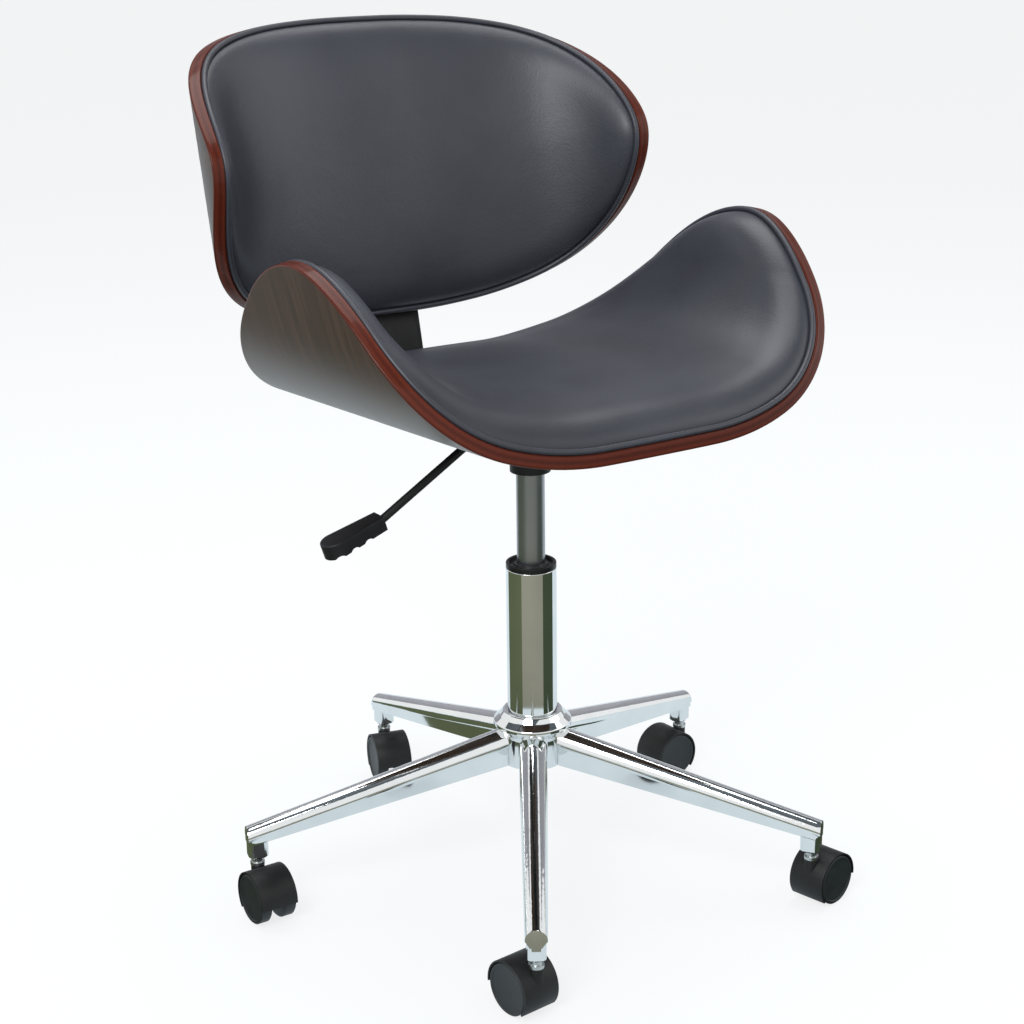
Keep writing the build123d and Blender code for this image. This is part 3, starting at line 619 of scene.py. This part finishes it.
turned("chromeColumn", roundedProfile(columnCorners), finishes["chrome"], "chrome", "outer_column")
turned("guideBush", roundedProfile(bushCorners), finishes["bush_plastic"], "bush_plastic", "column_bush")
print("turned pieces made")


# a copy of a solid with its edges eased, in place of the sharp one
easedEdge = {"segments": 2, "angle": math.radians(32), "gap": 0.01 * mm}


def eased(nodeName, body, width):
    source = frame["nodes"][nodeName]
    bpy.ops.object.select_all(action="DESELECT")
    piece = source.copy()
    piece.data = source.data.copy()
    piece.name = nodeName + "Eased"
    bpy.context.collection.objects.link(piece)
    piece.select_set(True)
    bpy.context.view_layer.objects.active = piece
    bpy.ops.object.mode_set(mode="EDIT")
    bpy.ops.mesh.select_all(action="SELECT")
    bpy.ops.mesh.remove_doubles(threshold=easedEdge["gap"])
    bpy.ops.mesh.customdata_custom_splitnormals_clear()
    bpy.ops.object.mode_set(mode="OBJECT")
    bevel = piece.modifiers.new("easedEdges", "BEVEL")
    bevel.width = width * mm
    bevel.segments = easedEdge["segments"]
    bevel.limit_method = "ANGLE"
    bevel.angle_limit = easedEdge["angle"]
    bevel.harden_normals = False
    bpy.ops.object.modifier_apply(modifier=bevel.name)
    bpy.ops.object.shade_smooth_by_angle(angle=easedEdge["angle"])
    setDown(piece, body, slotOf[nodeName], nodeName)
    return piece


for number in range(1, 6):
    eased("base_arm_%d" % number, "base", 0.5)
    eased("caster_hood_%d" % number, "caster_%d" % number, 0.45)
    eased("caster_wheel_%dr" % number, "wheel_%dr" % number, 0.4)
    eased("caster_wheel_%dl" % number, "wheel_%dl" % number, 0.4)
eased("lever_grip", "lever", 0.7)
eased("back_bracket", "seat", 0.6)
eased("mechanism_plate", "seat", 0.4)
print("eased copies made")


# camera where the photograph was taken
shot = {
    "place": (-1.00157, -1.50781, 0.96096), "ahead": (0.5191, 0.7988, -0.3041), "roll": -0.7028,
    "lens": 68.32, "sensor": 36.0,
}


def placeCamera():
    ahead = Vector(shot["ahead"]).normalized()
    right = ahead.cross(Vector((0, 0, 1))).normalized()
    up = right.cross(ahead)
    roll = math.radians(shot["roll"])
    tipRight = right * math.cos(roll) + up * math.sin(roll)
    tipUp = up * math.cos(roll) - right * math.sin(roll)
    bpy.ops.object.camera_add()
    camera = bpy.context.object
    camera.data.sensor_width = shot["sensor"]
    camera.data.lens = shot["lens"]
    turn = Matrix((tipRight, tipUp, -ahead)).transposed().to_4x4()
    camera.matrix_world = Matrix.Translation(shot["place"]) @ turn
    bpy.context.scene.camera = camera


# 1 for a ray of either kind
def eitherRay(tree, first, second):
    return addNode(tree, "ShaderNodeMath", operation="MAXIMUM", links={0: first, 1: second}).outputs["Value"]


# plain pale floor, which shows the shadow: nearly white to the camera, and its own colour in reflections
floorLook = {
    "size": 80.0, "drop": 0.5 * mm, "colour": "#dfebf1", "roughness": 0.9, "shine": 0.1, "glow": 0.8,
}


def layFloor():
    bpy.ops.mesh.primitive_plane_add(size=floorLook["size"], location=(0, 0, -floorLook["drop"]))
    floor = bpy.context.object
    floor.name = "floor"
    material, tree, shader = startMaterial("paleFloor", {
        "Base Color": hexColour(floorLook["colour"]), "Roughness": floorLook["roughness"],
        "Specular IOR Level": floorLook["shine"],
    })
    path = addNode(tree, "ShaderNodeLightPath").outputs
    mirrored = eitherRay(tree, path["Is Glossy Ray"], path["Is Transmission Ray"])
    seen = eitherRay(tree, path["Is Camera Ray"], mirrored)
    tint = addNode(tree, "ShaderNodeValToRGB", links={"Fac": mirrored})
    rampStops(tint, [(0.0, "#ffffff"), (1.0, floorLook["colour"])])
    pale = addNode(tree, "ShaderNodeEmission", {"Strength": 1.0}, {"Color": tint.outputs["Color"]})
    share = addNode(tree, "ShaderNodeMath", {1: floorLook["glow"]}, {0: seen}, operation="MULTIPLY")
    mix = addNode(
        tree, "ShaderNodeMixShader",
        links={"Fac": share.outputs["Value"], 1: shader.outputs["BSDF"], 2: pale.outputs["Emission"]},
    )
    tree.links.new(mix.outputs["Shader"], tree.nodes["Material Output"].inputs["Surface"])
    floor.data.materials.append(material)


# soft sky, white to the camera and to reflections
skyLevel = {"light": 0.58, "seen": 1.0}


def lightWorld():
    world = bpy.data.worlds.new("studio")
    bpy.context.scene.world = world
    world.use_nodes = True
    tree = world.node_tree
    sky = tree.nodes["Background"]
    path = addNode(tree, "ShaderNodeLightPath").outputs
    seen = eitherRay(tree, path["Is Camera Ray"], path["Is Glossy Ray"])
    allSeen = eitherRay(tree, seen, path["Is Transmission Ray"])
    span = {"To Min": skyLevel["light"], "To Max": skyLevel["seen"]}
    level = addNode(tree, "ShaderNodeMapRange", span, {"Value": allSeen})
    tree.links.new(level.outputs["Result"], sky.inputs["Strength"])
    sky.inputs["Color"].default_value = (1, 1, 1, 1)


lamps = [
    {"name": "key", "place": (-2.2, -1.6, 2.6), "size": 1.6, "power": 75.0},
    {"name": "fill", "place": (2.4, -1.4, 1.8), "size": 1.8, "power": 10.0},
    {"name": "top", "place": (0.3, 0.6, 3.2), "size": 2.2, "power": 60.0},
]
lampAim = (0, 0, 0.45)


def hangLamps():
    for lamp in lamps:
        bpy.ops.object.light_add(type="AREA", location=lamp["place"])
        light = bpy.context.object
        light.name = lamp["name"]
        light.data.size = lamp["size"]
        light.data.energy = lamp["power"]
        aim = Vector(lampAim) - Vector(lamp["place"])
        light.rotation_euler = aim.to_track_quat("-Z", "Y").to_euler()


# cards that only reflections see: wedges of floor round the base, a grey ceiling and a wall behind
wedges = [
    {"name": "wedgeLeft", "from": -125, "to": -45, "reach": (0.3, 2.6), "colour": "#525943"},
    {"name": "wedgeFront", "from": -45, "to": 52, "reach": (0.4, 2.6), "colour": "#7f7f72"},
    {"name": "wedgeRight", "from": 52, "to": 110, "reach": (0.3, 2.6), "colour": "#394334"},
]
wedgeLift = 1.0 * mm
wedgeSteps = 16
ceiling = {"size": 6.0, "height": 3.6, "colour": "#6f7276"}
rearWall = {"size": 7.0, "reach": 3.4, "low": 0.25, "colour": "#b4b1b6"}


def setCard(card, name, code):
    dull = {"Base Color": hexColour(code), "Roughness": 1.0, "Specular IOR Level": 0.0}
    card.name = name
    card.data.materials.append(startMaterial(name, dull)[0])
    card.visible_camera = False
    card.visible_diffuse = False
    card.visible_transmission = False
    card.visible_shadow = False


def laySurround():
    toCamera = math.atan2(shot["place"][1], shot["place"][0])
    for wedge in wedges:
        bpy.ops.mesh.primitive_grid_add(x_subdivisions=wedgeSteps, y_subdivisions=1, size=2.0)
        card = bpy.context.object
        for vertex in card.data.vertices:
            share = (vertex.co.x + 1) / 2
            angle = toCamera + math.radians(wedge["from"] + (wedge["to"] - wedge["from"]) * share)
            reach = wedge["reach"][0 if vertex.co.y < 0 else 1]
            vertex.co = Vector((reach * math.cos(angle), reach * math.sin(angle), wedgeLift))
        setCard(card, wedge["name"], wedge["colour"])
    bpy.ops.mesh.primitive_plane_add(size=ceiling["size"], location=(0, 0, ceiling["height"]))
    setCard(bpy.context.object, "ceiling", ceiling["colour"])
    bpy.ops.mesh.primitive_plane_add(size=rearWall["size"])
    wall = bpy.context.object
    away = Vector((-math.cos(toCamera), -math.sin(toCamera), 0))
    side = Vector((-away.y, away.x, 0))
    for vertex in wall.data.vertices:
        share = vertex.co.y / rearWall["size"] + 0.5
        height = rearWall["low"] + share * (ceiling["height"] - rearWall["low"])
        vertex.co = away * rearWall["reach"] + side * vertex.co.x + Vector((0, 0, height))
    setCard(wall, "rearWall", rearWall["colour"])


placeCamera()
layFloor()
lightWorld()
hangLamps()
laySurround()
bpy.context.scene.view_settings.view_transform = "Standard"
print("camera, floor and light set")
